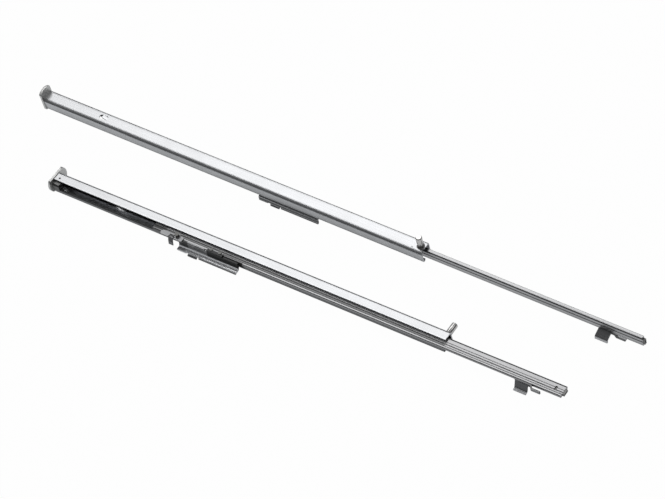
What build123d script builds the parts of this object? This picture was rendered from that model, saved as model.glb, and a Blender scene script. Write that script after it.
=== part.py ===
from build123d import *
from math import atan, cos, degrees, pi, radians, sin
import os

os.makedirs("parts", exist_ok=True)

# All lengths are millimetres. Each runner is drawn in its own frame: x runs back from the front
# end of its fixed rail, y runs from the closed wall to the open side, and z = 0 is the top face.

# Moving rail, a rolled channel with a curled lower lip
moving_length = 385.0
moving_height = 12.6
moving_sheet = 1.0
closed_shoulder = 2.3
open_shoulder = 1.2
open_wall_height = 7.8
open_gap = 1.5
curl_radius = 1.55
curl_turn = 240.0

# Fixed rail, sheet rolled into a flat hollow bar that runs between two rows of balls
fixed_length = 382.0
fixed_width = 2.6
fixed_proud = 1.3
fixed_sheet = 0.8
fixed_bend = 0.8
hollow_inset = 2.15
waist_depth = 0.35
waist_start = 2.6
waist_end = 5.9
groove_radius = 0.4
groove_depth = 0.2
groove_drop = 4.5
trough_radius = 3.0
trough_depth = 0.3
trough_drop = 7.3

# Balls and the cage that spaces them
ball_radius = 1.3
ball_count = 6
ball_pitch = 20.0
ball_sides = 8
upper_gap = 0.06
lower_gap = 0.1
track_depth = 0.06
cage_sheet = 0.5
cage_bend = 0.9
cage_pocket_gap = 0.08
cage_margin = 10.0
cage_reach = 3.6
cage_drop = 1.3

# How far each moving rail stands out, as a share of its full travel, and the play that is left there
left_open_share = 0.815
right_open_share = 0.4462
stop_play = 3.41

# Front plate that the tray stops against
plate_width = 12.4
plate_thickness = 2.0
plate_rise = 4.7
plate_drop = 12.6
plate_crown = 2.4
plate_corner = 0.8

# Insert behind the front plate
insert_length = 7.0
insert_width = 5.6
insert_height = 4.2
insert_rise = 0.2
insert_gap = 0.1
insert_corner = 1.2

# Round hole in the open wall beside the front plate
wall_hole_radius = 0.9
wall_hole_inset = 4.5
wall_hole_drop = 5.6

# Oval slot with its raised tongue in the top face
slot_inset = 62.5
slot_length = 9.0
slot_width = 4.6
tongue_width = 3.0
tongue_rise = 1.7
tongue_length = 6.4
tongue_root = 1.2

# Dimples that hold the inner stop
dimple_inset = 9.8
dimple_radius = 0.9
dimple_depth = 0.45

# Inner stop near the back of the moving rail
stop_length = 6.0
stop_width = 4.0
stop_height = 7.4
seat_gap = 0.05

# Tray pin, a turned stud welded to the top face
pin_radius = 2.6
pin_height = 10.8
pin_chamfer = 0.5
pin_inset = 3.8

# Cross pin that stops the cage at the front of the fixed rail
cross_pin_radius = 1.3
cross_pin_inset = 7.5
cross_pin_drop = 3.6
cross_pin_inner = 1.9
cross_pin_outer = 0.8

# Block that closes the back of the fixed rail
block_length = 8.5
block_height = 5.6
block_proud = 1.8
block_side_gap = 0.2
pocket_depth = 1.2
pocket_width = 0.9
pocket_height = 3.2
window_length = 2.0
window_height = 3.6
window_inset = 6.8

# Front bracket, a saddle that sits over the rack wire
bracket_sheet = 1.2
bracket_start = 27.2
bracket_length = 58.9
bracket_bend = 1.0
web_fall = 0.4
lip_reach = 4.0
lip_knee = 1.4
lip_shoulder = 1.7
lip_fall = 2.6
lip_flare = 1.0
lip_first_length = 9.8
lip_first_cut = 1.4
lip_first_slant = 1.2
foot_start = 11.4
foot_length = 8.8
foot_drop = 7.1
lip_second_start = 21.8
lip_second_cut = 0.8
notch_cut = 2.0
ledge_start = 5.4
ledge_length = 20.8
ledge_reach = 1.4
lug_start = 28.3
lug_length = 15.4
lug_rise = 2.0
lug_corner = 0.9

# Rivets of the front bracket
rivet_radius = 0.9
rivet_head_radius = 1.5
rivet_head_height = 0.5
lug_rivet_insets = (3.5, 12.0)
lug_rivet_rise = 1.4

# Latch lever with its thumb tab and claw
lever_sheet = 1.2
lever_gap = 0.1
lever_front = 15.5
lever_back = 6.4
lever_above = 0.4
lever_below = 3.8
lever_front_corner = 1.9
lever_back_corner = 0.9
pivot_inset = 25.0
pivot_rise = 1.3
pivot_boss_radius = 2.3
pivot_radius = 1.1
pivot_gap = 0.06
pivot_head_radius = 2.0
pivot_head_height = 0.7
claw_front = 6.5
claw_width = 4.6
claw_sweep = 3.0
claw_bulge = 0.8
claw_waist = 3.6
claw_heel = 6.2
claw_heel_in = 0.3
claw_tip = 7.6
claw_tip_in = 2.9
claw_bend = 1.0

# Torsion spring round the latch pivot
spring_wire_radius = 0.22
spring_coil_gap = 0.15
spring_turns = 2.0
spring_sides = 4
spring_pitch = 0.5
spring_end_gap = 0.12
spring_leg = 2.4
spring_tail = 5.0

# Back clip with its hooked tongue
clip_sheet = 1.2
clip_inset = 28.0
clip_length = 10.9
clip_bend = 1.0
clip_seat = 1.9
clip_reach = 5.0
clip_knee = 2.3
clip_flare = 0.6
clip_lip = 4.9
hook_root = 3.0
hook_slope = 1.5
hook_drop = 2.5
hook_length = 7.6
hook_width = 2.8
hook_bend = 0.8

# Where the right runner lies beside the left one
right_shift = -30.9
right_top = -57.9
right_turn = 0.63

overrun = 1.0

# Places that follow from the sizes above
moving_width = 2 * (curl_radius + ball_radius + lower_gap) + fixed_width + open_gap + moving_sheet
half_width = moving_width / 2
closed_inside = -half_width + moving_sheet
open_inside = half_width - moving_sheet
curl_y = -half_width + curl_radius
curl_z = -moving_height + curl_radius
curl_face = -half_width + 2 * curl_radius
upper_ball_z = -moving_sheet - upper_gap - ball_radius
fixed_top = upper_ball_z - ball_radius - upper_gap + track_depth
fixed_bottom = -moving_height - fixed_proud
fixed_height = fixed_top - fixed_bottom
fixed_closed = curl_face + 2 * (ball_radius + lower_gap)
fixed_open = fixed_closed + fixed_width
fixed_web = fixed_open - fixed_sheet
hollow_start = fixed_closed + waist_depth + fixed_sheet
upper_ball_y = (fixed_closed + fixed_open) / 2
lower_ball_y = curl_face + lower_gap + ball_radius
cage_length = (ball_count - 1) * ball_pitch + 2 * cage_margin
cage_stop = cross_pin_inset + cross_pin_radius + seat_gap
full_extension = moving_length - dimple_inset - stop_length / 2 - stop_play - cage_stop - cage_length
bracket_end = bracket_start + bracket_length
clip_end = fixed_length - clip_inset
stand_height = foot_drop - fixed_bottom
pivot_z = fixed_bottom + pivot_rise
rivet_z = fixed_bottom + lug_rivet_rise


# A rectangle between two limits on each axis of a sketch
def span(low_a, high_a, low_b, high_b):
    return Pos((low_a + high_a) / 2, (low_b + high_b) / 2) * Rectangle(high_a - low_a, high_b - low_b)


# A YZ section run along x
def along_x(section, start, end):
    return extrude(Plane.YZ.offset(start) * section, amount=end - start)


# An XZ outline run along y
def across_y(outline, start, end):
    return extrude(Plane.XZ.offset(-start) * outline, amount=start - end)


# An XY outline run along z
def up_z(outline, start, end):
    return extrude(Plane.XY.offset(start) * outline, amount=end - start)


# A round bar along y
def rod_y(radius, x, z, start, end):
    return across_y(Pos(x, z) * Circle(radius), start, end)


# A folded sheet section that follows its middle line
def folded(points, radii, sheet):
    return trace(FilletPolyline(*points, radius=radii), line_width=sheet)


# Rails


def moving_rail(front):
    middle = moving_sheet / 2
    walls = folded(
        [
            (half_width - middle, -open_wall_height),
            (half_width - middle, -middle),
            (-half_width + middle, -middle),
            (-half_width + middle, curl_z),
        ],
        [open_shoulder - middle, closed_shoulder - middle],
        moving_sheet,
    )
    curl = trace(CenterArc((curl_y, curl_z), curl_radius - middle, 180, curl_turn), line_width=moving_sheet)
    rail = along_x(walls + curl, front, front + moving_length)
    slot_x = front + slot_inset
    rail -= up_z(Pos(slot_x, 0) * SlotOverall(slot_length, slot_width), -moving_sheet - overrun, overrun)
    hole_x = front + wall_hole_inset
    rail -= rod_y(wall_hole_radius, hole_x, -wall_hole_drop, open_inside - overrun, half_width + overrun)
    dimple_x = front + moving_length - dimple_inset
    dimple_z = dimple_radius - dimple_depth
    outside = half_width + overrun
    rail -= rod_y(dimple_radius, dimple_x, dimple_z, -outside, closed_shoulder - half_width)
    rail -= rod_y(dimple_radius, dimple_x, dimple_z, half_width - open_shoulder, outside)
    return rail + raised_tongue(slot_x)


# The tongue is cut free on three sides of the slot and bent up from its back end
def raised_tongue(slot_x):
    back = slot_x + slot_length / 2 + tongue_root
    path = [
        (back, -moving_sheet / 2),
        (back - tongue_root - moving_sheet, -moving_sheet / 2),
        (back - tongue_length, tongue_rise - moving_sheet / 2),
    ]
    strip = folded(path, moving_sheet, moving_sheet)
    return across_y(strip, -tongue_width / 2, tongue_width / 2)


def fixed_rail():
    middle_y = (fixed_closed + fixed_open) / 2
    middle_z = (fixed_top + fixed_bottom) / 2
    section = Pos(middle_y, middle_z) * RectangleRounded(fixed_width, fixed_height, fixed_bend)
    section -= span(hollow_start, fixed_web, fixed_bottom + hollow_inset, fixed_top - hollow_inset)
    section -= Pos(upper_ball_y, upper_ball_z) * Circle(ball_radius + upper_gap)
    waist = span(-overrun, waist_depth, -waist_end, -waist_start)
    section -= Pos(fixed_closed, fixed_top) * waist
    section -= Pos(fixed_open + groove_radius - groove_depth, fixed_top - groove_drop) * Circle(groove_radius)
    section -= Pos(fixed_open + trough_radius - trough_depth, fixed_top - trough_drop) * Circle(trough_radius)
    rail = along_x(section, 0, fixed_length)
    outside = fixed_open + overrun
    cross_z = fixed_top - cross_pin_drop
    rail -= rod_y(cross_pin_radius, cross_pin_inset, cross_z, fixed_closed - overrun, outside)
    rail -= rod_y(pivot_radius, pivot_inset, pivot_z, fixed_web, outside)
    for x in rivet_places():
        rail -= rod_y(rivet_radius, x, rivet_z, fixed_web, outside)
    window = Pos(fixed_length - window_inset, middle_z) * Rectangle(window_length, window_height)
    return rail - across_y(window, fixed_web, outside)


# Ball cage and balls


def ball_places(cage_front):
    return [cage_front + cage_margin + step * ball_pitch for step in range(ball_count)]


def ball_cage(cage_front):
    path = [
        (lower_ball_y, curl_z - cage_drop),
        (lower_ball_y, upper_ball_z),
        (cage_reach, upper_ball_z),
    ]
    cage = along_x(folded(path, cage_bend, cage_sheet), cage_front, cage_front + cage_length)
    pocket_width = 2 * (ball_radius + cage_pocket_gap)
    pocket = Rectangle(pocket_width, pocket_width)
    for x in ball_places(cage_front):
        cage -= up_z(Pos(x, upper_ball_y) * pocket, upper_ball_z - cage_sheet, upper_ball_z + cage_sheet)
        cage -= across_y(Pos(x, curl_z) * pocket, lower_ball_y - cage_sheet, lower_ball_y + cage_sheet)
    return cage


# A ball is an eight-sided drum with a tapered cap at each end, and every corner is at its radius
def ball():
    bend = pi / ball_sides
    wide, narrow = ball_radius * cos(bend), ball_radius * sin(bend)
    drum = up_z(RegularPolygon(wide, ball_sides), -narrow, narrow)
    end = Plane.XY.offset(narrow) * RegularPolygon(wide, ball_sides)
    cap = extrude(end, amount=wide - narrow, taper=degrees(atan(cos(bend))))
    return drum + cap + mirror(cap, about=Plane.XY)


def ball_row(cage_front, y, z):
    return Compound([(Pos(x, y, z) * ball()).solid() for x in ball_places(cage_front)])


# Pieces that ride on the moving rail


# The plate has straight sides and a bowed edge at the top and at the bottom
def front_plate(front):
    half = plate_width / 2
    edge = [
        ThreePointArc((-half, plate_rise), (0, plate_rise + plate_crown), (half, plate_rise)),
        Line((half, plate_rise), (half, -plate_drop)),
        ThreePointArc((half, -plate_drop), (0, -plate_drop - plate_crown), (-half, -plate_drop)),
        Line((-half, -plate_drop), (-half, plate_rise)),
    ]
    outline = make_face(edge)
    return along_x(fillet(outline.vertices(), plate_corner), front - plate_thickness, front)


def front_insert(front):
    low_y = curl_face + insert_gap
    low_z = -moving_height + insert_rise
    section = span(low_y, low_y + insert_width, low_z, low_z + insert_height)
    section = chamfer(section.vertices().group_by(Axis.X)[-1].sort_by(Axis.Y)[0], insert_corner)
    return along_x(section, front, front + insert_length)


def rear_stop(front):
    back = front + moving_length - dimple_inset + stop_length / 2
    low_y = closed_inside + seat_gap
    high_z = -moving_sheet - seat_gap
    section = span(low_y, low_y + stop_width, high_z - stop_height, high_z)
    section = chamfer(section.vertices().group_by(Axis.X)[0].sort_by(Axis.Y)[-1], closed_shoulder - moving_sheet)
    return along_x(section, back - stop_length, back)


def tray_pin(front):
    x = front + moving_length - pin_inset
    stud = up_z(Circle(pin_radius), 0, pin_height)
    return Pos(x, 0, 0) * chamfer(stud.edges().sort_by(Axis.Z)[-1], pin_chamfer)


# Pieces fastened to the fixed rail


def cross_pin():
    z = fixed_top - cross_pin_drop
    inner = fixed_closed - cross_pin_inner
    return rod_y(cross_pin_radius, cross_pin_inset, z, inner, fixed_open + cross_pin_outer)


# The block sits in the hollow of the rail, and its head behind the rail has a pocket in its end
def end_block():
    middle_y = (fixed_closed + fixed_open) / 2
    middle_z = (fixed_top + fixed_bottom) / 2
    low_z = middle_z - block_height / 2
    high_z = middle_z + block_height / 2
    back = fixed_length + block_proud
    body = along_x(span(hollow_start, fixed_web, low_z, high_z), fixed_length - block_length, fixed_length)
    head = span(fixed_closed + block_side_gap, fixed_open - block_side_gap, low_z, high_z)
    pocket = Pos(middle_y, middle_z) * Rectangle(pocket_width, pocket_height)
    return body + along_x(head, fixed_length, back) - along_x(pocket, back - pocket_depth, back + overrun)


def front_bracket():
    middle = bracket_sheet / 2
    web_z = fixed_bottom - middle
    lip_z = web_z - lip_shoulder - lip_fall
    saddle = folded(
        [
            (fixed_open, web_z),
            (-lip_knee, web_z - web_fall),
            (-lip_reach, web_z - lip_shoulder),
            (-lip_reach, lip_z),
            (-lip_reach - lip_flare, -stand_height - middle),
        ],
        bracket_bend,
        bracket_sheet,
    )
    bracket = along_x(saddle, bracket_start, bracket_end)
    ledge = span(fixed_closed, fixed_open + ledge_reach, fixed_bottom - bracket_sheet, fixed_bottom)
    ledge_front = bracket_start + ledge_start
    bracket += along_x(ledge, ledge_front, ledge_front + ledge_length)
    bracket += rivet_lug()
    return bracket - lip_cuts()


def rivet_places():
    return [bracket_start + lug_start + inset for inset in lug_rivet_insets]


# The lug stands up on the open face of the fixed rail and takes the rivets
def rivet_lug():
    front = bracket_start + lug_start
    outline = span(front, front + lug_length, fixed_bottom - bracket_sheet, fixed_bottom + lug_rise)
    outline = fillet(outline.vertices().group_by(Axis.Y)[-1], lug_corner)
    lug = across_y(outline, fixed_open, fixed_open + bracket_sheet)
    for x in rivet_places():
        lug -= rod_y(rivet_radius, x, rivet_z, fixed_open, fixed_open + bracket_sheet)
    return lug


# The lip ends at three heights: a front part, the foot that stands lowest, and the long back part
def lip_cuts():
    floor = -stand_height - overrun
    front = bracket_start - overrun
    first_end = bracket_start + lip_first_length
    first_z = -stand_height + lip_first_cut
    notch_z = -stand_height + notch_cut
    foot_front = bracket_start + foot_start
    second = bracket_start + lip_second_start
    first = Polygon(
        (foot_front, floor),
        (foot_front, notch_z),
        (first_end, notch_z),
        (first_end - lip_first_slant, first_z),
        (front, first_z),
        (front, floor),
        align=None,
    )
    behind = span(foot_front + foot_length, second, floor, notch_z)
    behind += span(second, bracket_end + overrun, floor, -stand_height + lip_second_cut)
    under = span(front, bracket_end + overrun, floor, -stand_height)
    cuts = []
    for outline in (first, behind, under):
        cuts.append(across_y(outline, -lip_reach - lip_flare - bracket_sheet, -lip_reach + bracket_sheet))
    return cuts


def bracket_rivets():
    outer = fixed_open + bracket_sheet
    rivets = []
    for x in rivet_places():
        head = rod_y(rivet_head_radius, x, rivet_z, outer, outer + rivet_head_height)
        rivets.append(rod_y(rivet_radius, x, rivet_z, fixed_web, outer) + head)
    return Compound([rivet.solid() for rivet in rivets])


def rear_clip():
    middle = clip_sheet / 2
    web_z = fixed_bottom - middle
    hook = folded(
        [
            (fixed_open, web_z),
            (fixed_open - clip_seat, web_z),
            (-clip_reach, web_z - clip_knee),
            (-clip_reach - clip_flare, web_z - clip_lip),
        ],
        clip_bend,
        clip_sheet,
    )
    clip = along_x(hook, clip_end - clip_length, clip_end)
    tongue = folded(
        [
            (clip_end - clip_sheet, web_z),
            (clip_end + hook_root, web_z),
            (clip_end + hook_root + hook_slope, web_z - hook_drop),
            (clip_end + hook_root + hook_slope + hook_length, web_z - hook_drop),
        ],
        hook_bend,
        clip_sheet,
    )
    return clip + across_y(tongue, fixed_open - hook_width, fixed_open)


# Latch


def latch_lever():
    low_z = pivot_z - lever_below
    high_z = pivot_z + lever_above
    inner = fixed_open + lever_gap
    outer = inner + lever_sheet
    arm = span(pivot_inset - lever_front, pivot_inset + lever_back, low_z, high_z)
    arm = fillet(arm.vertices().group_by(Axis.X)[0], lever_front_corner)
    arm = fillet(arm.vertices().group_by(Axis.X)[-1], lever_back_corner)
    arm += Pos(pivot_inset, pivot_z) * Circle(pivot_boss_radius)
    lever = across_y(arm, inner, outer) + claw(inner + lever_sheet / 2, high_z)
    return lever - rod_y(pivot_radius + pivot_gap, pivot_inset, pivot_z, inner - overrun, outer + overrun)


# The claw bulges out, turns under the wire and slants back to its tip
def claw(plate_y, top):
    waist = pivot_z - claw_waist
    floor = pivot_z - claw_tip - lever_sheet
    band = folded(
        [
            (plate_y, top - lever_sheet),
            (plate_y + claw_bulge, waist),
            (plate_y - claw_heel_in, pivot_z - claw_heel),
            (plate_y - claw_tip_in, pivot_z - claw_tip),
        ],
        claw_bend,
        lever_sheet,
    )
    start = pivot_inset - claw_front
    sweep_end = start + claw_sweep
    strip = along_x(band, start, sweep_end + claw_width)
    outline = Polygon(
        (start, top),
        (start, waist),
        (sweep_end, floor),
        (sweep_end + claw_width, floor),
        (start + claw_width, waist),
        (start + claw_width, top),
        align=None,
    )
    return strip & across_y(outline, -half_width, moving_width)


def latch_pivot():
    coil_room = spring_turns * spring_pitch + 2 * spring_wire_radius + 2 * spring_end_gap
    face = fixed_open + lever_gap + lever_sheet
    shank = rod_y(pivot_radius, pivot_inset, pivot_z, fixed_web, face + coil_room)
    head_end = face + coil_room + pivot_head_height
    head = rod_y(pivot_head_radius, pivot_inset, pivot_z, face + coil_room, head_end)
    return shank + head


def latch_spring():
    coil_radius = pivot_radius + spring_coil_gap + spring_wire_radius
    height = spring_turns * spring_pitch
    coil = Helix(spring_pitch, height, coil_radius)
    start = coil @ 0
    end = coil @ 1
    leg = Line(end, end + coil % 1 * spring_tail)
    tail = Line(start - coil % 0 * spring_leg, start)
    wire = Wire([tail.edge(), coil.edge(), leg.edge()])
    ring = Plane(origin=wire @ 0, z_dir=wire % 0) * RegularPolygon(spring_wire_radius, spring_sides)
    body = sweep(ring, path=wire)
    y = fixed_open + lever_gap + lever_sheet + spring_end_gap + spring_wire_radius
    return Pos(pivot_inset, y, pivot_z) * Rot(X=-90) * Rot(Z=90) * body


# The whole runner, with the names of its pieces


def runner(open_share):
    extension = open_share * full_extension
    front = -extension
    cage_front = cage_stop + (full_extension - extension) / 2
    return {
        "fixed_rail": fixed_rail(),
        "cross_pin": cross_pin(),
        "end_block": end_block(),
        "front_bracket": front_bracket(),
        "bracket_rivets": bracket_rivets(),
        "rear_clip": rear_clip(),
        "latch_pivot": latch_pivot(),
        "latch_spring": latch_spring(),
        "latch_lever": latch_lever(),
        "ball_cage": ball_cage(cage_front),
        "upper_balls": ball_row(cage_front, upper_ball_y, upper_ball_z),
        "lower_balls": ball_row(cage_front, lower_ball_y, curl_z),
        "moving_rail": moving_rail(front),
        "front_plate": front_plate(front),
        "front_insert": front_insert(front),
        "rear_stop": rear_stop(front),
        "tray_pin": tray_pin(front),
    }


# The origin is on the floor, at the middle of the ground that the pair takes up
left_front = -left_open_share * full_extension - plate_thickness
lowest_foot = bracket_start + foot_start
right_low = right_top - stand_height * cos(radians(right_turn)) + lowest_foot * sin(radians(right_turn))
middle_x = (fixed_length + block_proud + left_front) / 2
middle_y = (plate_width / 2 + right_low) / 2

# The left runner stands on the foot of its bracket
for name, piece in runner(left_open_share).items():
    export_step(Pos(-middle_x, -middle_y, stand_height) * piece, f"parts/left_{name}.step")

# The right runner is its mirror image and lies, turned a little, on its plate and the lip of its clip
swap = Plane(origin=(0, 0, 0), z_dir=(0, 1, -1))
lying_place = Pos(right_shift - middle_x, right_top - middle_y, plate_width / 2) * Rot(Z=right_turn)
for name, piece in runner(right_open_share).items():
    export_step(lying_place * mirror(piece, about=swap), f"parts/right_{name}.step")
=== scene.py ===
import bpy
import bmesh
import math
from mathutils import Matrix, Vector


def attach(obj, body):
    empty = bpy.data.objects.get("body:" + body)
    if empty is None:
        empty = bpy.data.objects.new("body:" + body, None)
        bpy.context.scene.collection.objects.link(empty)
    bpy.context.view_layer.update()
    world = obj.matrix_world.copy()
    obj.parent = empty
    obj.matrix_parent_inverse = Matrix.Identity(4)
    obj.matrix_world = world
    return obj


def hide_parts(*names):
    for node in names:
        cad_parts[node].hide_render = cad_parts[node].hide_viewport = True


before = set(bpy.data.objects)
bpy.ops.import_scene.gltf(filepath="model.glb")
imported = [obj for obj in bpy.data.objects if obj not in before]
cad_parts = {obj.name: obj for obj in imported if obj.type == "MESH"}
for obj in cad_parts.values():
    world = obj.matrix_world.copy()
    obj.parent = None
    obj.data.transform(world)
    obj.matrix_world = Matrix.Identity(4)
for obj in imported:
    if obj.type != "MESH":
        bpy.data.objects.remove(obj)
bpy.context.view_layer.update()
print("stage 1: frame loaded,", len(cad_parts), "nodes")

mm = 0.001
hands = ("left", "right")
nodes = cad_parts

# Camera, at the photograph's angle

cameraSetup = {
    "place": (1002.37, -899.54, 1553.14),  # mm
    "aim": (17.75, 15.25, 0.0),  # mm
    "roll": -16.641,  # degrees about the line of sight
    "lens": 140.923,  # mm
    "sensor": 36.0,  # mm
    "clip": (0.1, 30.0),  # m
}


def addCamera(setup):
    data = bpy.data.cameras.new("photoCamera")
    data.sensor_fit = "HORIZONTAL"
    data.sensor_width = setup["sensor"]
    data.lens = setup["lens"]
    data.clip_start, data.clip_end = setup["clip"]
    camera = bpy.data.objects.new("photoCamera", data)
    bpy.context.scene.collection.objects.link(camera)
    place = Vector(setup["place"]) * mm
    look = Vector(setup["aim"]) * mm - place
    turn = look.to_track_quat("-Z", "Y").to_matrix().to_4x4()
    roll = Matrix.Rotation(math.radians(setup["roll"]), 4, "Z")
    camera.matrix_world = Matrix.Translation(place) @ turn @ roll
    bpy.context.scene.camera = camera


addCamera(cameraSetup)
print("stage 2: camera set")

# Shader nodes that the materials use again and again


def feed(tree, value, socket):
    # An output is linked, and a plain value is set
    if isinstance(value, bpy.types.NodeSocket):
        tree.links.new(value, socket)
    else:
        socket.default_value = value


def addMath(tree, operation, *values, clamp=False):
    node = tree.nodes.new("ShaderNodeMath")
    node.operation = operation
    node.use_clamp = clamp
    for value, socket in zip(values, node.inputs):
        feed(tree, value, socket)
    return node.outputs[0]


def addVectorMath(tree, operation, *values, scale=None):
    node = tree.nodes.new("ShaderNodeVectorMath")
    node.operation = operation
    for value, socket in zip(values, node.inputs):
        feed(tree, value, socket)
    if scale is not None:
        feed(tree, scale, node.inputs["Scale"])
    return node.outputs["Value" if operation == "LENGTH" else "Vector"]


def addRange(tree, value, before, after=(0.0, 1.0), smooth=False):
    # Carries the limits before over to the limits after, and holds them outside
    node = tree.nodes.new("ShaderNodeMapRange")
    node.interpolation_type = "SMOOTHSTEP" if smooth else "LINEAR"
    node.inputs["From Min"].default_value, node.inputs["From Max"].default_value = before
    node.inputs["To Min"].default_value, node.inputs["To Max"].default_value = after
    tree.links.new(value, node.inputs["Value"])
    return node.outputs["Result"]


def addMix(tree, share, first, second, tinting=False):
    # Mixes two plain numbers, or multiplies a colour by a second one
    node = tree.nodes.new("ShaderNodeMix")
    node.data_type = "RGBA" if tinting else "FLOAT"
    node.blend_type = "MULTIPLY" if tinting else "MIX"
    a, b, result = (6, 7, 2) if tinting else (2, 3, 0)  # the node has its own sockets for each kind
    feed(tree, share, node.inputs[0])
    feed(tree, first, node.inputs[a])
    feed(tree, second, node.inputs[b])
    return node.outputs[result]


def addMixShader(tree, share, first, second):
    node = tree.nodes.new("ShaderNodeMixShader")
    feed(tree, share, node.inputs["Fac"])
    tree.links.new(first, node.inputs[1])
    tree.links.new(second, node.inputs[2])
    return node.outputs[0]


def rayShare(tree, *kinds):
    # One for rays of these kinds and zero for all others
    ray = tree.nodes.new("ShaderNodeLightPath")
    share = ray.outputs[kinds[0]]
    for kind in kinds[1:]:
        share = addMath(tree, "MAXIMUM", share, ray.outputs[kind])
    return share


# Floor, backdrop and lamps

studio = {
    "floorHalf": 6.0,  # m, half a side
    "floorDrop": 0.0002,  # m
    "floorColour": (0.8, 0.8, 0.8, 1),
    "floorShade": 0.015,  # how much of the object's shadow the paper keeps
    "paperInMetal": 0.78,  # the paper as the steel sees it
    "paperReach": (0.32, 0.75),  # m from the middle, where the lit part of the paper fades out
    "paperTint": (0.97, 0.985, 1.0, 1),
    "contactReach": 0.03,  # m, how far the steel darkens the paper beside it
    "contactSamples": 4,
    "horizonLevel": 0.1,  # brightness of the walls
    "zenithLevel": 0.2,  # and of the ceiling
    "ceilingRise": (0.4, 0.85),  # sine of the rise above the horizon, from the walls to the ceiling
    "backdropColour": (1, 1, 1, 1),
}
softboxes = {
    "topSoftbox": {"place": (-1.05, 1.1, 1.95), "size": (1.5, 1.5), "glow": 2.1},  # m, brightness
    "fillSoftbox": {"place": (1.3, -1.6, 1.5), "size": (0.6, 0.6), "glow": 0.6},
    "backSoftbox": {"place": (1.25, 1.15, 1.95), "size": (1.1, 1.1), "glow": 0.9},
}


def paperSweep(setup):
    # White to the camera, a softer white in the steel, and a diffuse sheet to everything else
    material = bpy.data.materials.new("paperSweep")
    material.use_nodes = True
    tree = material.node_tree
    tree.nodes.clear()
    out = tree.nodes.new("ShaderNodeOutputMaterial")
    where = tree.nodes.new("ShaderNodeTexCoord")
    white = tree.nodes.new("ShaderNodeEmission")
    plain = tree.nodes.new("ShaderNodeBsdfDiffuse")
    plain.inputs["Color"].default_value = setup["floorColour"]
    inMetal = tree.nodes.new("ShaderNodeEmission")
    inMetal.inputs["Color"].default_value = setup["paperTint"]
    contact = tree.nodes.new("ShaderNodeAmbientOcclusion")
    contact.inputs["Distance"].default_value = setup["contactReach"]
    contact.samples = setup["contactSamples"]
    fromMiddle = addVectorMath(tree, "LENGTH", where.outputs["Object"])
    levels = (setup["paperInMetal"], setup["horizonLevel"])
    fade = addRange(tree, fromMiddle, setup["paperReach"], levels, smooth=True)
    lit = addMath(tree, "MULTIPLY", fade, contact.outputs["AO"])
    tree.links.new(lit, inMetal.inputs["Strength"])
    shaded = addMixShader(tree, setup["floorShade"], white.outputs[0], plain.outputs[0])
    mirrored = rayShare(tree, "Is Glossy Ray", "Is Transmission Ray")
    unseen = addMixShader(tree, mirrored, plain.outputs[0], inMetal.outputs[0])
    paper = addMixShader(tree, rayShare(tree, "Is Camera Ray"), unseen, shaded)
    tree.links.new(paper, out.inputs["Surface"])
    return material


def addFloor(setup):
    half = setup["floorHalf"]
    mesh = bpy.data.meshes.new("floor")
    corners = [(-half, -half, 0), (half, -half, 0), (half, half, 0), (-half, half, 0)]
    mesh.from_pydata(corners, [], [(0, 1, 2, 3)])
    floor = bpy.data.objects.new("floor", mesh)
    bpy.context.scene.collection.objects.link(floor)
    floor.location.z = -setup["floorDrop"]
    mesh.materials.append(paperSweep(setup))


def addWorld(setup):
    # A dim room whose ceiling is brighter than its walls, and white paper to the camera
    world = bpy.data.worlds.new("studioRoom")
    bpy.context.scene.world = world
    world.use_nodes = True
    tree = world.node_tree
    tree.nodes.clear()
    out = tree.nodes.new("ShaderNodeOutputWorld")
    where = tree.nodes.new("ShaderNodeTexCoord")
    split = tree.nodes.new("ShaderNodeSeparateXYZ")
    room = tree.nodes.new("ShaderNodeBackground")
    room.inputs["Color"].default_value = setup["paperTint"]
    paper = tree.nodes.new("ShaderNodeBackground")
    paper.inputs["Color"].default_value = setup["backdropColour"]
    tree.links.new(where.outputs["Generated"], split.inputs[0])
    levels = (setup["horizonLevel"], setup["zenithLevel"])
    rise = addRange(tree, split.outputs["Z"], setup["ceilingRise"], levels, smooth=True)
    tree.links.new(rise, room.inputs["Strength"])
    seen = addMixShader(tree, rayShare(tree, "Is Camera Ray"), room.outputs[0], paper.outputs[0])
    tree.links.new(seen, out.inputs["Surface"])


def addSoftbox(name, box):
    width, height = box["size"]
    place = Vector(box["place"])
    data = bpy.data.lights.new(name, "AREA")
    data.shape = "RECTANGLE"
    data.size, data.size_y = width, height
    data.energy = box["glow"] * math.pi * width * height
    lamp = bpy.data.objects.new(name, data)
    bpy.context.scene.collection.objects.link(lamp)
    lamp.location = place
    lamp.rotation_euler = (-place).to_track_quat("-Z", "Y").to_euler()


addFloor(studio)
addWorld(studio)
for name, box in softboxes.items():
    addSoftbox(name, box)
bpy.context.scene.view_settings.view_transform = "Standard"
print("stage 3: studio built")

# Finishes. The roughness swings to both sides of rough, lines is how fine the draw lines are, and
# dent is how strongly they show in the surface

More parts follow.
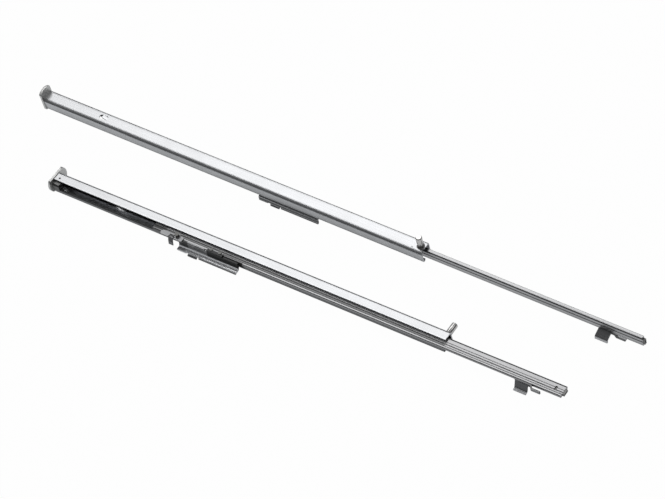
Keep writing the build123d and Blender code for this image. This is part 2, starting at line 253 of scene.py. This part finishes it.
finishes = {
    "movingSteel": {
        "colour": (0.50, 0.505, 0.515), "rough": 0.3, "swing": 0.03, "lines": 900.0, "dent": 0.01,
    },
    "fixedSteel": {
        "colour": (0.36, 0.36, 0.365), "rough": 0.3, "swing": 0.04, "lines": 800.0, "dent": 0.02,
    },
    "plateSteel": {
        "colour": (0.62, 0.62, 0.61), "rough": 0.44, "swing": 0.08, "lines": 260.0, "dent": 0.04,
    },
    "bracketSteel": {
        "colour": (0.27, 0.272, 0.278), "rough": 0.3, "swing": 0.08, "lines": 500.0, "dent": 0.05,
        "metal": 0.65,  # a greyer, less mirror-like plating
    },
    "pivotSteel": {
        "colour": (0.3, 0.3, 0.29), "rough": 0.3, "swing": 0.06, "lines": 700.0, "dent": 0.03,
    },
    "pinSteel": {
        "colour": (0.58, 0.57, 0.56), "rough": 0.22, "swing": 0.06, "lines": 700.0, "dent": 0.03,
    },
    "insertSteel": {
        "colour": (0.17, 0.17, 0.168), "rough": 0.4, "swing": 0.1, "lines": 400.0, "dent": 0.06,
    },
    "cageSteel": {
        "colour": (0.3, 0.295, 0.285), "rough": 0.35, "swing": 0.08, "lines": 600.0, "dent": 0.03,
    },
    "ballSteel": {
        "colour": (0.6, 0.6, 0.6), "rough": 0.1, "swing": 0.03, "lines": 300.0, "dent": 0.01,
    },
    "weldSteel": {
        "colour": (0.26, 0.255, 0.25), "rough": 0.42, "swing": 0.12, "lines": 900.0, "dent": 0.2,
    },
    "springSteel": {
        "colour": (0.33, 0.32, 0.31), "rough": 0.32, "swing": 0.08, "lines": 900.0, "dent": 0.02,
    },
}

# What all steels share: long fine draw lines and a slow cloud in the gloss and the colour
steelGrain = {
    "stretch": (0.02, 1.0, 1.0),  # the lines run along X
    "lineDetail": 3.0,
    "cloudScale": 60.0,
    "cloudDetail": 4.0,
    "cloudInGloss": 0.45,  # the rest of the gloss follows the lines
    "noiseLimits": (0.3, 0.7),  # most of the noise lies between these
    "tints": (0.93, 1.05),  # the darkest and lightest colour, against the finish's own
    "dentDepth": 0.0002,  # m
}

# The runner's own frame inside the frame of the pair, for the leans and the painted shade and light
# that follow its section
runnerFrames = {
    "left": {
        "start": (-0.093124, 0.036137, 0.021),  # m
        "turn": 0.0,
        "across": "Y",
        "up": "Z",
    },
    "right": {
        "start": (-0.124024, -0.021763, 0.0062),
        "turn": math.radians(0.63),
        "across": "Z",
        "up": "Y",
    },
}
bandEdges = {"across": 0.15, "up": 0.15, "along": 0.9}  # mm, the fade to each side of a band's edge


def sectionPlace(tree, hand):
    # Where a point lies in its runner: across and up in the section, and along it
    own = runnerFrames[hand]
    where = tree.nodes.new("ShaderNodeTexCoord")
    turn = tree.nodes.new("ShaderNodeVectorRotate")
    turn.rotation_type = "Z_AXIS"
    turn.inputs["Angle"].default_value = -own["turn"]
    split = tree.nodes.new("ShaderNodeSeparateXYZ")
    shifted = addVectorMath(tree, "SUBTRACT", where.outputs["Object"], own["start"])
    tree.links.new(shifted, turn.inputs["Vector"])
    tree.links.new(turn.outputs[0], split.inputs[0])
    axes = split.outputs
    return {"across": axes[own["across"]], "up": axes[own["up"]], "along": axes["X"]}


def curveOf(tree, value, points, reach):
    # A smooth curve through points, from a place in mm to a lean between minus reach and plus reach
    low, high = points[0][0], points[-1][0]
    curve = tree.nodes.new("ShaderNodeFloatCurve")
    bends = curve.mapping.curves[0].points
    places = [((at - low) / (high - low), 0.5 + lean / (2 * reach)) for at, lean in points]
    bends[0].location, bends[-1].location = places[0], places[-1]
    for place in places[1:-1]:
        bends.new(*place)
    for bend in bends:
        bend.handle_type = "AUTO_CLAMPED"
    curve.mapping.update()
    tree.links.new(addRange(tree, value, (low * mm, high * mm)), curve.inputs["Value"])
    return addRange(tree, curve.outputs["Value"], (0.0, 1.0), (-reach, reach))


def leanNormal(tree, hand, lean, surface):
    # Leans the surface towards its rolled edges, but not the ends, which look along the runner
    own = runnerFrames[hand]
    at = sectionPlace(tree, hand)
    closedWall = curveOf(tree, at["up"], lean["closedUp"], lean["reach"])
    openWall = curveOf(tree, at["up"], lean["openUp"], lean["reach"])
    onOpenWall = addMath(tree, "GREATER_THAN", at["across"], lean["openFrom"] * mm)
    bend = tree.nodes.new("ShaderNodeCombineXYZ")
    tree.links.new(addMix(tree, onOpenWall, closedWall, openWall), bend.inputs[own["up"]])
    if "across" in lean:
        overTop = curveOf(tree, at["across"], lean["across"], lean["reach"])
        tree.links.new(overTop, bend.inputs[own["across"]])
    split = tree.nodes.new("ShaderNodeSeparateXYZ")
    tree.links.new(surface, split.inputs[0])
    endOn = addMath(tree, "ABSOLUTE", split.outputs["X"])
    alongside = addMath(tree, "SUBTRACT", 1.0, endOn, clamp=True)
    held = addVectorMath(tree, "SCALE", bend.outputs[0], scale=alongside)
    return addVectorMath(tree, "NORMALIZE", addVectorMath(tree, "ADD", surface, held))


def banded(tree, hand, band, colour):
    # Painted shade or light: multiplies the colour by the band's shade between its limits, with
    # short soft edges
    at = sectionPlace(tree, hand)
    share = None
    for way, softness in bandEdges.items():
        if way not in band:
            continue
        for edge, sign in zip(band[way], (1, -1)):
            limits = ((edge - sign * softness) * mm, (edge + sign * softness) * mm)
            inside = addRange(tree, at[way], limits, smooth=True)
            share = inside if share is None else addMath(tree, "MULTIPLY", share, inside)
    return addMix(tree, share, colour, (*[band["shade"]] * 3, 1), tinting=True)


def drawnSteel(name, look, hand=None, lean=None, bands=()):
    grain = steelGrain
    material = bpy.data.materials.new(name)
    material.use_nodes = True
    tree = material.node_tree
    link = tree.links.new
    shader = tree.nodes["Principled BSDF"]
    shader.inputs["Metallic"].default_value = look.get("metal", 1.0)
    where = tree.nodes.new("ShaderNodeTexCoord")
    stretch = tree.nodes.new("ShaderNodeMapping")
    stretch.inputs["Scale"].default_value = grain["stretch"]
    drawLines = tree.nodes.new("ShaderNodeTexNoise")
    drawLines.inputs["Scale"].default_value = look["lines"]
    drawLines.inputs["Detail"].default_value = grain["lineDetail"]
    cloud = tree.nodes.new("ShaderNodeTexNoise")
    cloud.inputs["Scale"].default_value = grain["cloudScale"]
    cloud.inputs["Detail"].default_value = grain["cloudDetail"]
    link(where.outputs["Object"], stretch.inputs["Vector"])
    link(stretch.outputs["Vector"], drawLines.inputs["Vector"])
    link(where.outputs["Object"], cloud.inputs["Vector"])
    both = addMix(tree, grain["cloudInGloss"], drawLines.outputs["Fac"], cloud.outputs["Fac"])
    roughness = (look["rough"] - look["swing"], look["rough"] + look["swing"])
    link(addRange(tree, both, grain["noiseLimits"], roughness), shader.inputs["Roughness"])
    tint = tree.nodes.new("ShaderNodeValToRGB")
    for end, position, level in zip(tint.color_ramp.elements, grain["noiseLimits"], grain["tints"]):
        end.position = position
        end.color = (*[min(c * level, 1) for c in look["colour"]], 1)
    link(cloud.outputs["Fac"], tint.inputs["Fac"])
    colour = tint.outputs["Color"]
    for band in bands:
        colour = banded(tree, hand, band, colour)
    link(colour, shader.inputs["Base Color"])
    dent = tree.nodes.new("ShaderNodeBump")
    dent.inputs["Strength"].default_value = look["dent"]
    dent.inputs["Distance"].default_value = grain["dentDepth"]
    link(drawLines.outputs["Fac"], dent.inputs["Height"])
    if lean:
        surface = tree.nodes.new("ShaderNodeNewGeometry")
        link(leanNormal(tree, hand, lean, surface.outputs["Normal"]), dent.inputs["Normal"])
    link(dent.outputs["Normal"], shader.inputs["Normal"])
    return material


steels = {}


def sharedSteel(finish):
    # One material for all plain pieces of the same steel
    if finish not in steels:
        steels[finish] = drawnSteel(finish, finishes[finish])
    return steels[finish]


# One dictionary for each piece. A lean is a row of (place in mm, lean) across the section, or up it
# on the closed wall and on the open one, which starts at openFrom. A band is painted shade or
# painted
# light between limits in mm: its shade darkens the steel below 1 and brightens it above. softEdge
# is the width of the rounded edges in mm.

movingRail = {
    "steel": "movingSteel",
    "lean": {
        "across": ((-5.5, -0.03), (-2.2, -0.03), (0.0, 0.0), (2.6, 0.035), (3.6, 0.16), (5.5, 0.6)),
        "closedUp": (
            (-12.6, -0.9), (-11.2, -0.6), (-9.8, -0.2), (-6.5, 0.0), (-5.4, 0.1), (-4.5, 0.28),
            (-3.6, 0.48), (-2.9, 0.7), (-2.3, 0.95), (-1.15, 1.4), (-0.4, 2.1), (0.0, 2.4),
        ),
        "openUp": ((-12.6, 0.0), (-2.4, 0.0), (-1.5, 0.35), (-0.7, 0.8), (0.0, 1.0)),
        "openFrom": 0.0,
        "reach": 2.5,
    },
    "bands": {
        "left": {
            # painted shade: the slot's walls darkened as if in shadow
            "slotEdgeShade": {
                "across": (-2.6, 2.6), "up": (-3.0, -0.3), "along": (-138.4, -127.6), "shade": 0.08,
            },
            # painted shade on the inside of the open wall, seen through the slot
            "slotGloom": {  # the inside of the open wall, seen through the slot
                "across": (3.6, 4.9), "up": (-8.2, -1.5), "along": (-147.0, -129.0), "shade": 0.1,
            },
        },
        "right": {
            # painted light: the lying rail's hollow brightened
            "litHollow": {"across": (-4.9, 4.9), "up": (-9.4, -0.5), "shade": 1.7},
            # painted shade on the curl
            "shadedCurl": {"across": (-5.8, -1.0), "up": (-13.0, -9.4), "shade": 0.45},
            # painted highlight on the open wall's edge face
            "litSheetEdge": {"across": (4.3, 5.7), "up": (-8.4, -7.65), "shade": 2.0},
            # painted shade: the lying rail a little darker than the standing one
            "shadedChannel": {"up": (-20.0, 1.0), "shade": 0.94},
        },
    },
}

# Painted shade in the recess between the fixed rail and the bracket, on the lying runner
pinchedShade = {"across": (-3.7, 6.0), "up": (-15.9, -12.5), "along": (55.5, 90.0), "shade": 0.1}
# Where the moving rail covers the fixed one, for painted shade and light
ballTrack = {"across": (-1.0, 3.6), "along": (-5.0, 279.0)}
fixedRail = {
    "steel": "fixedSteel",
    "lean": {
        "closedUp": (
            (-14.0, 0.0), (-7.6, 0.0), (-6.7, 0.25), (-6.2, 0.7), (-5.8, 2.2), (-5.1, 4.8),
            (-3.6, 5.5),
        ),
        "openUp": ((-14.0, 0.0), (-5.5, 0.0), (-4.7, 0.5), (-3.6, 1.0)),
        "openFrom": 1.7,
        "reach": 6.0,
    },
    "bands": {
        "left": {
            # painted light on the standing rail's closed side
            "litBar": {"across": (-8.0, 1.7), "up": (-11.8, -5.9), "shade": 1.28},
        },
        "right": {
            "pinchedShade": pinchedShade,
            # painted shade under the moving rail, and painted light above it
            "trackShade": {**ballTrack, "up": (-11.8, -10.1), "shade": 0.38},
            "trackHalfShade": {**ballTrack, "up": (-10.1, -8.9), "shade": 0.72},
            "trackLight": {**ballTrack, "up": (-8.7, -5.6), "shade": 2.2},
            # painted shade on the fixed rail's front end
            "shadedFront": {
                "across": (-1.0, 4.0), "up": (-14.5, -3.0), "along": (-3.0, 12.0), "shade": 0.45,
            },
            # painted shade: the lying runner's fixed rail a little darker
            "shadedBar": {"up": (-15.0, 0.0), "shade": 0.9},
        },
    },
}

frontPlate = {
    "steel": "plateSteel",
    "lean": {
        "closedUp": ((-16.0, 0.0), (3.0, 0.0), (4.5, 1.6), (8.0, 1.6)),
        "openUp": ((-16.0, 0.0), (3.0, 0.0), (4.5, 1.2), (8.0, 1.2)),
        "openFrom": 0.0,
        "reach": 2.5,
    },
    "softEdge": 0.22,
}

frontBracket = {
    "steel": "bracketSteel",
    "bands": {
        "left": {
            # painted shade on the standing bracket, with painted highlights on two bends
            "shadedBracket": {"up": (-22.0, -12.0), "shade": 0.5},
            "upperGlint": {"up": (-16.5, -15.5), "shade": 3.6},
            "lowerGlint": {"up": (-19.4, -18.7), "shade": 3.0},
        },
        "right": {
            "pinchedShade": pinchedShade,
            # painted shade on the seat beside the lever
            "shadedSeat": {
                "across": (-3.7, 4.6), "up": (-15.9, -12.5), "along": (26.5, 36.5), "shade": 0.25,
            },
            # painted highlight on the saddle's inner wall
            "litStrip": {"up": (-19.9, -15.9), "shade": 3.4},
            # painted shade on the saddle's lower edge
            "shadedSkirt": {"up": (-22.0, -19.9), "shade": 0.6},
        },
    },
    "softEdge": 0.15,
}

# Painted highlight on the clip's lip
litLip = {"across": (-8.0, -3.0), "up": (-22.0, -17.3), "shade": 2.4}
rearClip = {
    "steel": "bracketSteel",
    "bands": {
        "left": {"litLip": litLip},
        # painted shade on the lying runner's clip, beside the lip's painted highlight
        "right": {"shadedClip": {"up": (-17.3, -12.0), "shade": 0.45}, "litLip": litLip},
    },
    "softEdge": 0.15,
}

# The bracket's rivets and the latch's pivot, with painted shade on the lying runner
headedPins = {
    "steel": "pivotSteel",
    "bands": {"right": {"shadedHeads": {"up": (-18.0, -8.0), "shade": 0.35}}},
    "softEdge": 0.2,
}

looks = {
    "moving_rail": movingRail,
    "fixed_rail": fixedRail,
    "front_plate": frontPlate,
    "front_bracket": frontBracket,
    "rear_clip": rearClip,
    "bracket_rivets": headedPins,
    "latch_pivot": headedPins,
    "latch_lever": {"steel": "bracketSteel", "softEdge": 0.15},
    "latch_spring": {"steel": "springSteel"},
    "cross_pin": {"steel": "pinSteel"},
    "tray_pin": {"steel": "pinSteel", "softEdge": 0.15},
    "end_block": {"steel": "insertSteel", "softEdge": 0.25},
    "front_insert": {"steel": "insertSteel", "softEdge": 0.2},
    "rear_stop": {"steel": "insertSteel", "softEdge": 0.25},
    "ball_cage": {"steel": "cageSteel"},
    "upper_balls": {"steel": "ballSteel"},
    "lower_balls": {"steel": "ballSteel"},
}


def addFinish(hand, part, look):
    # A piece with a lean or bands has a material for each hand, and the others share theirs
    steel = look["steel"]
    if "lean" in look or "bands" in look:
        bands = look.get("bands", {}).get(hand, {})
        name = f"{hand}_{part}_{steel}"
        finish = drawnSteel(name, finishes[steel], hand, look.get("lean"), bands.values())
    else:
        finish = sharedSteel(steel)
    mesh = nodes[f"{hand}_{part}"].data
    mesh.materials.clear()
    mesh.materials.append(finish)


for hand in hands:
    for part, look in looks.items():
        addFinish(hand, part, look)
print("stage 4: finishes on")

# Softened edges on the pressed and cut pieces

edgeCut = {
    "segments": 2,
    "angle": 40,  # degrees, a flatter edge stays as it is
}
sameCorner = 0.000001  # m, corners nearer than this are one


def softenEdges(node, width):
    joined = node.modifiers.new("joinedCorners", "WELD")
    joined.merge_threshold = sameCorner
    rounded = node.modifiers.new("softEdge", "BEVEL")
    rounded.width = width * mm
    rounded.segments = edgeCut["segments"]
    rounded.limit_method = "ANGLE"
    rounded.angle_limit = math.radians(edgeCut["angle"])
    rounded.use_clamp_overlap = True
    rounded.harden_normals = True


for hand in hands:
    for part, look in looks.items():
        if "softEdge" in look:
            softenEdges(nodes[f"{hand}_{part}"], look["softEdge"])
print("stage 5: edges softened")

# Pieces that the CAD keeps plain


def fromRunner(hand, x, y, z):
    # From mm in a runner's own frame to metres in the frame of the pair
    own = runnerFrames[hand]
    local = Vector((x, y, z)) if own["up"] == "Z" else Vector((x, z, y))
    return Vector(own["start"]) + Matrix.Rotation(own["turn"], 3, "Z") @ local * mm


def circleOf(sides):
    return [2 * math.pi * step / sides for step in range(sides)]


def turnedForm(form, profile, sides, place):
    # A profile of (radius, rise) in mm, turned about its own axis
    rings = []
    for radius, rise in profile:
        if radius < 0.0001:  # a point on the axis
            rings.append([form.verts.new(place(0, 0, rise))])
            continue
        spots = [place(radius * math.cos(a), radius * math.sin(a), rise) for a in circleOf(sides)]
        rings.append([form.verts.new(spot) for spot in spots])
    for lower, upper in zip(rings, rings[1:]):
        for step in range(sides):
            after = step + 1
            corners = [lower[step % len(lower)], lower[after % len(lower)]]
            corners += [upper[after % len(upper)], upper[step % len(upper)]]
            form.faces.new(list(dict.fromkeys(corners)))


def wireForm(form, path, radius, sides):
    # A round wire along a path of places in the frame of the pair, its radius in mm
    tangents = [(b - a).normalized() for a, b in zip(path, path[1:])]
    tangents.append(tangents[-1])
    across = tangents[0].orthogonal().normalized()
    rings = []
    for index, (middle, along) in enumerate(zip(path, tangents)):
        if index:
            across = tangents[index - 1].rotation_difference(along) @ across
        other = along.cross(across)
        spokes = [across * math.cos(a) + other * math.sin(a) for a in circleOf(sides)]
        rings.append([form.verts.new(middle + spoke * radius * mm) for spoke in spokes])
    for lower, upper in zip(rings, rings[1:]):
        for step in range(sides):
            after = (step + 1) % sides
            form.faces.new((lower[step], lower[after], upper[after], upper[step]))
    form.faces.new(list(reversed(rings[0])))
    form.faces.new(rings[-1])


def addPiece(name, form, finish, body, replaced=None):
    bmesh.ops.recalc_face_normals(form, faces=form.faces)
    for face in form.faces:
        face.smooth = True
    mesh = bpy.data.meshes.new(name)
    form.to_mesh(mesh)
    form.free()
    piece = bpy.data.objects.new(name, mesh)
    bpy.context.scene.collection.objects.link(piece)
    mesh.materials.append(finish)
    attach(piece, body)
    if replaced:
        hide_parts(replaced)


def looseMiddles(mesh):
    # The middle of each separate solid of a mesh
    parts = bmesh.new()
    parts.from_mesh(mesh)
    bmesh.ops.remove_doubles(parts, verts=parts.verts, dist=sameCorner)
    waiting = set(parts.verts)
    middles = []
    for first in list(parts.verts):
        if first not in waiting:
            continue
        waiting.discard(first)
        found = [first]
        for vert in found:
            for edge in vert.link_edges:
                other = edge.other_vert(vert)
                if other in waiting:
                    waiting.discard(other)
                    found.append(other)
        low = Vector([min(v.co[i] for v in found) for i in range(3)])
        high = Vector([max(v.co[i] for v in found) for i in range(3)])
        middles.append((low + high) / 2)
    parts.free()
    return middles


bearingBall = {
    "radius": 1.3,  # mm
    "rings": 14,
    "sides": 24,
}


def addBalls(hand, row):
    own = bearingBall
    form = bmesh.new()
    steps = [math.pi * step / own["rings"] for step in range(own["rings"] + 1)]
    profile = [(own["radius"] * math.sin(a), -own["radius"] * math.cos(a)) for a in steps]
    faceted = f"{hand}_{row}_balls"
    for middle in looseMiddles(nodes[faceted].data):
        turnedForm(form, profile, own["sides"], lambda x, y, z: middle + Vector((x, y, z)) * mm)
    finish = sharedSteel("ballSteel")
    name = f"{hand}_{row}_bearing_balls"
    addPiece(name, form, finish, f"{hand}_ball_carrier", faceted)


latchSpring = {
    "pivot": (25.0, 4.64, -12.6),  # mm, where the coil starts on the pivot's axis
    "coil": 1.47,
    "wire": 0.22,
    "turns": 2.0,
    "pitch": 0.5,
    "leg": 5.0,
    "tail": 2.4,
    "steps": 24,
    "sides": 10,
}


def addSpring(hand):
    own = latchSpring
    size = own["coil"]
    path = []
    for step in range(round(own["turns"] * own["steps"]) + 1):
        turn = 2 * math.pi * step / own["steps"]
        rise = own["pitch"] * step / own["steps"]
        path.append(Vector((-size * math.sin(turn), rise, -size * math.cos(turn))))
    path.insert(0, path[0] + (path[0] - path[1]).normalized() * own["tail"])
    path.append(path[-1] + (path[-1] - path[-2]).normalized() * own["leg"])
    form = bmesh.new()
    places = [fromRunner(hand, *(Vector(own["pivot"]) + point)) for point in path]
    wireForm(form, places, own["wire"], own["sides"])
    finish = sharedSteel("springSteel")
    name = f"{hand}_latch_wire_spring"
    addPiece(name, form, finish, "fixed_rails", f"{hand}_latch_spring")


pinWeld = {
    "profile": ((3.3, 0.0), (3.28, 0.2), (3.08, 0.42), (2.8, 0.55), (2.5, 0.5), (2.5, 0.0)),  # mm
    "along": {"left": 185.65, "right": 274.14},  # mm
    "ripple": 0.06,  # share of the radius
    "ripplesAbove": 0.1,  # mm
    "waves": ((0.6, 11, 0), (0.4, 5, 1)),  # size, count round the pin, shift
    "sides": 66,
}


def addPinWeld(hand):
    own = pinWeld
    form = bmesh.new()

    def place(x, y, rise):
        angle = math.atan2(y, x)
        wave = sum(size * math.sin(count * angle + shift) for size, count, shift in own["waves"])
        swell = 1 + own["ripple"] * wave * (rise > own["ripplesAbove"])
        return fromRunner(hand, own["along"][hand] + x * swell, y * swell, rise)

    turnedForm(form, own["profile"], own["sides"], place)
    finish = sharedSteel("weldSteel")
    addPiece(f"{hand}_tray_pin_weld", form, finish, f"{hand}_slider")


for hand in hands:
    for row in ("upper", "lower"):
        addBalls(hand, row)
    addSpring(hand)
    addPinWeld(hand)
print("stage 6: balls, springs and welds built")
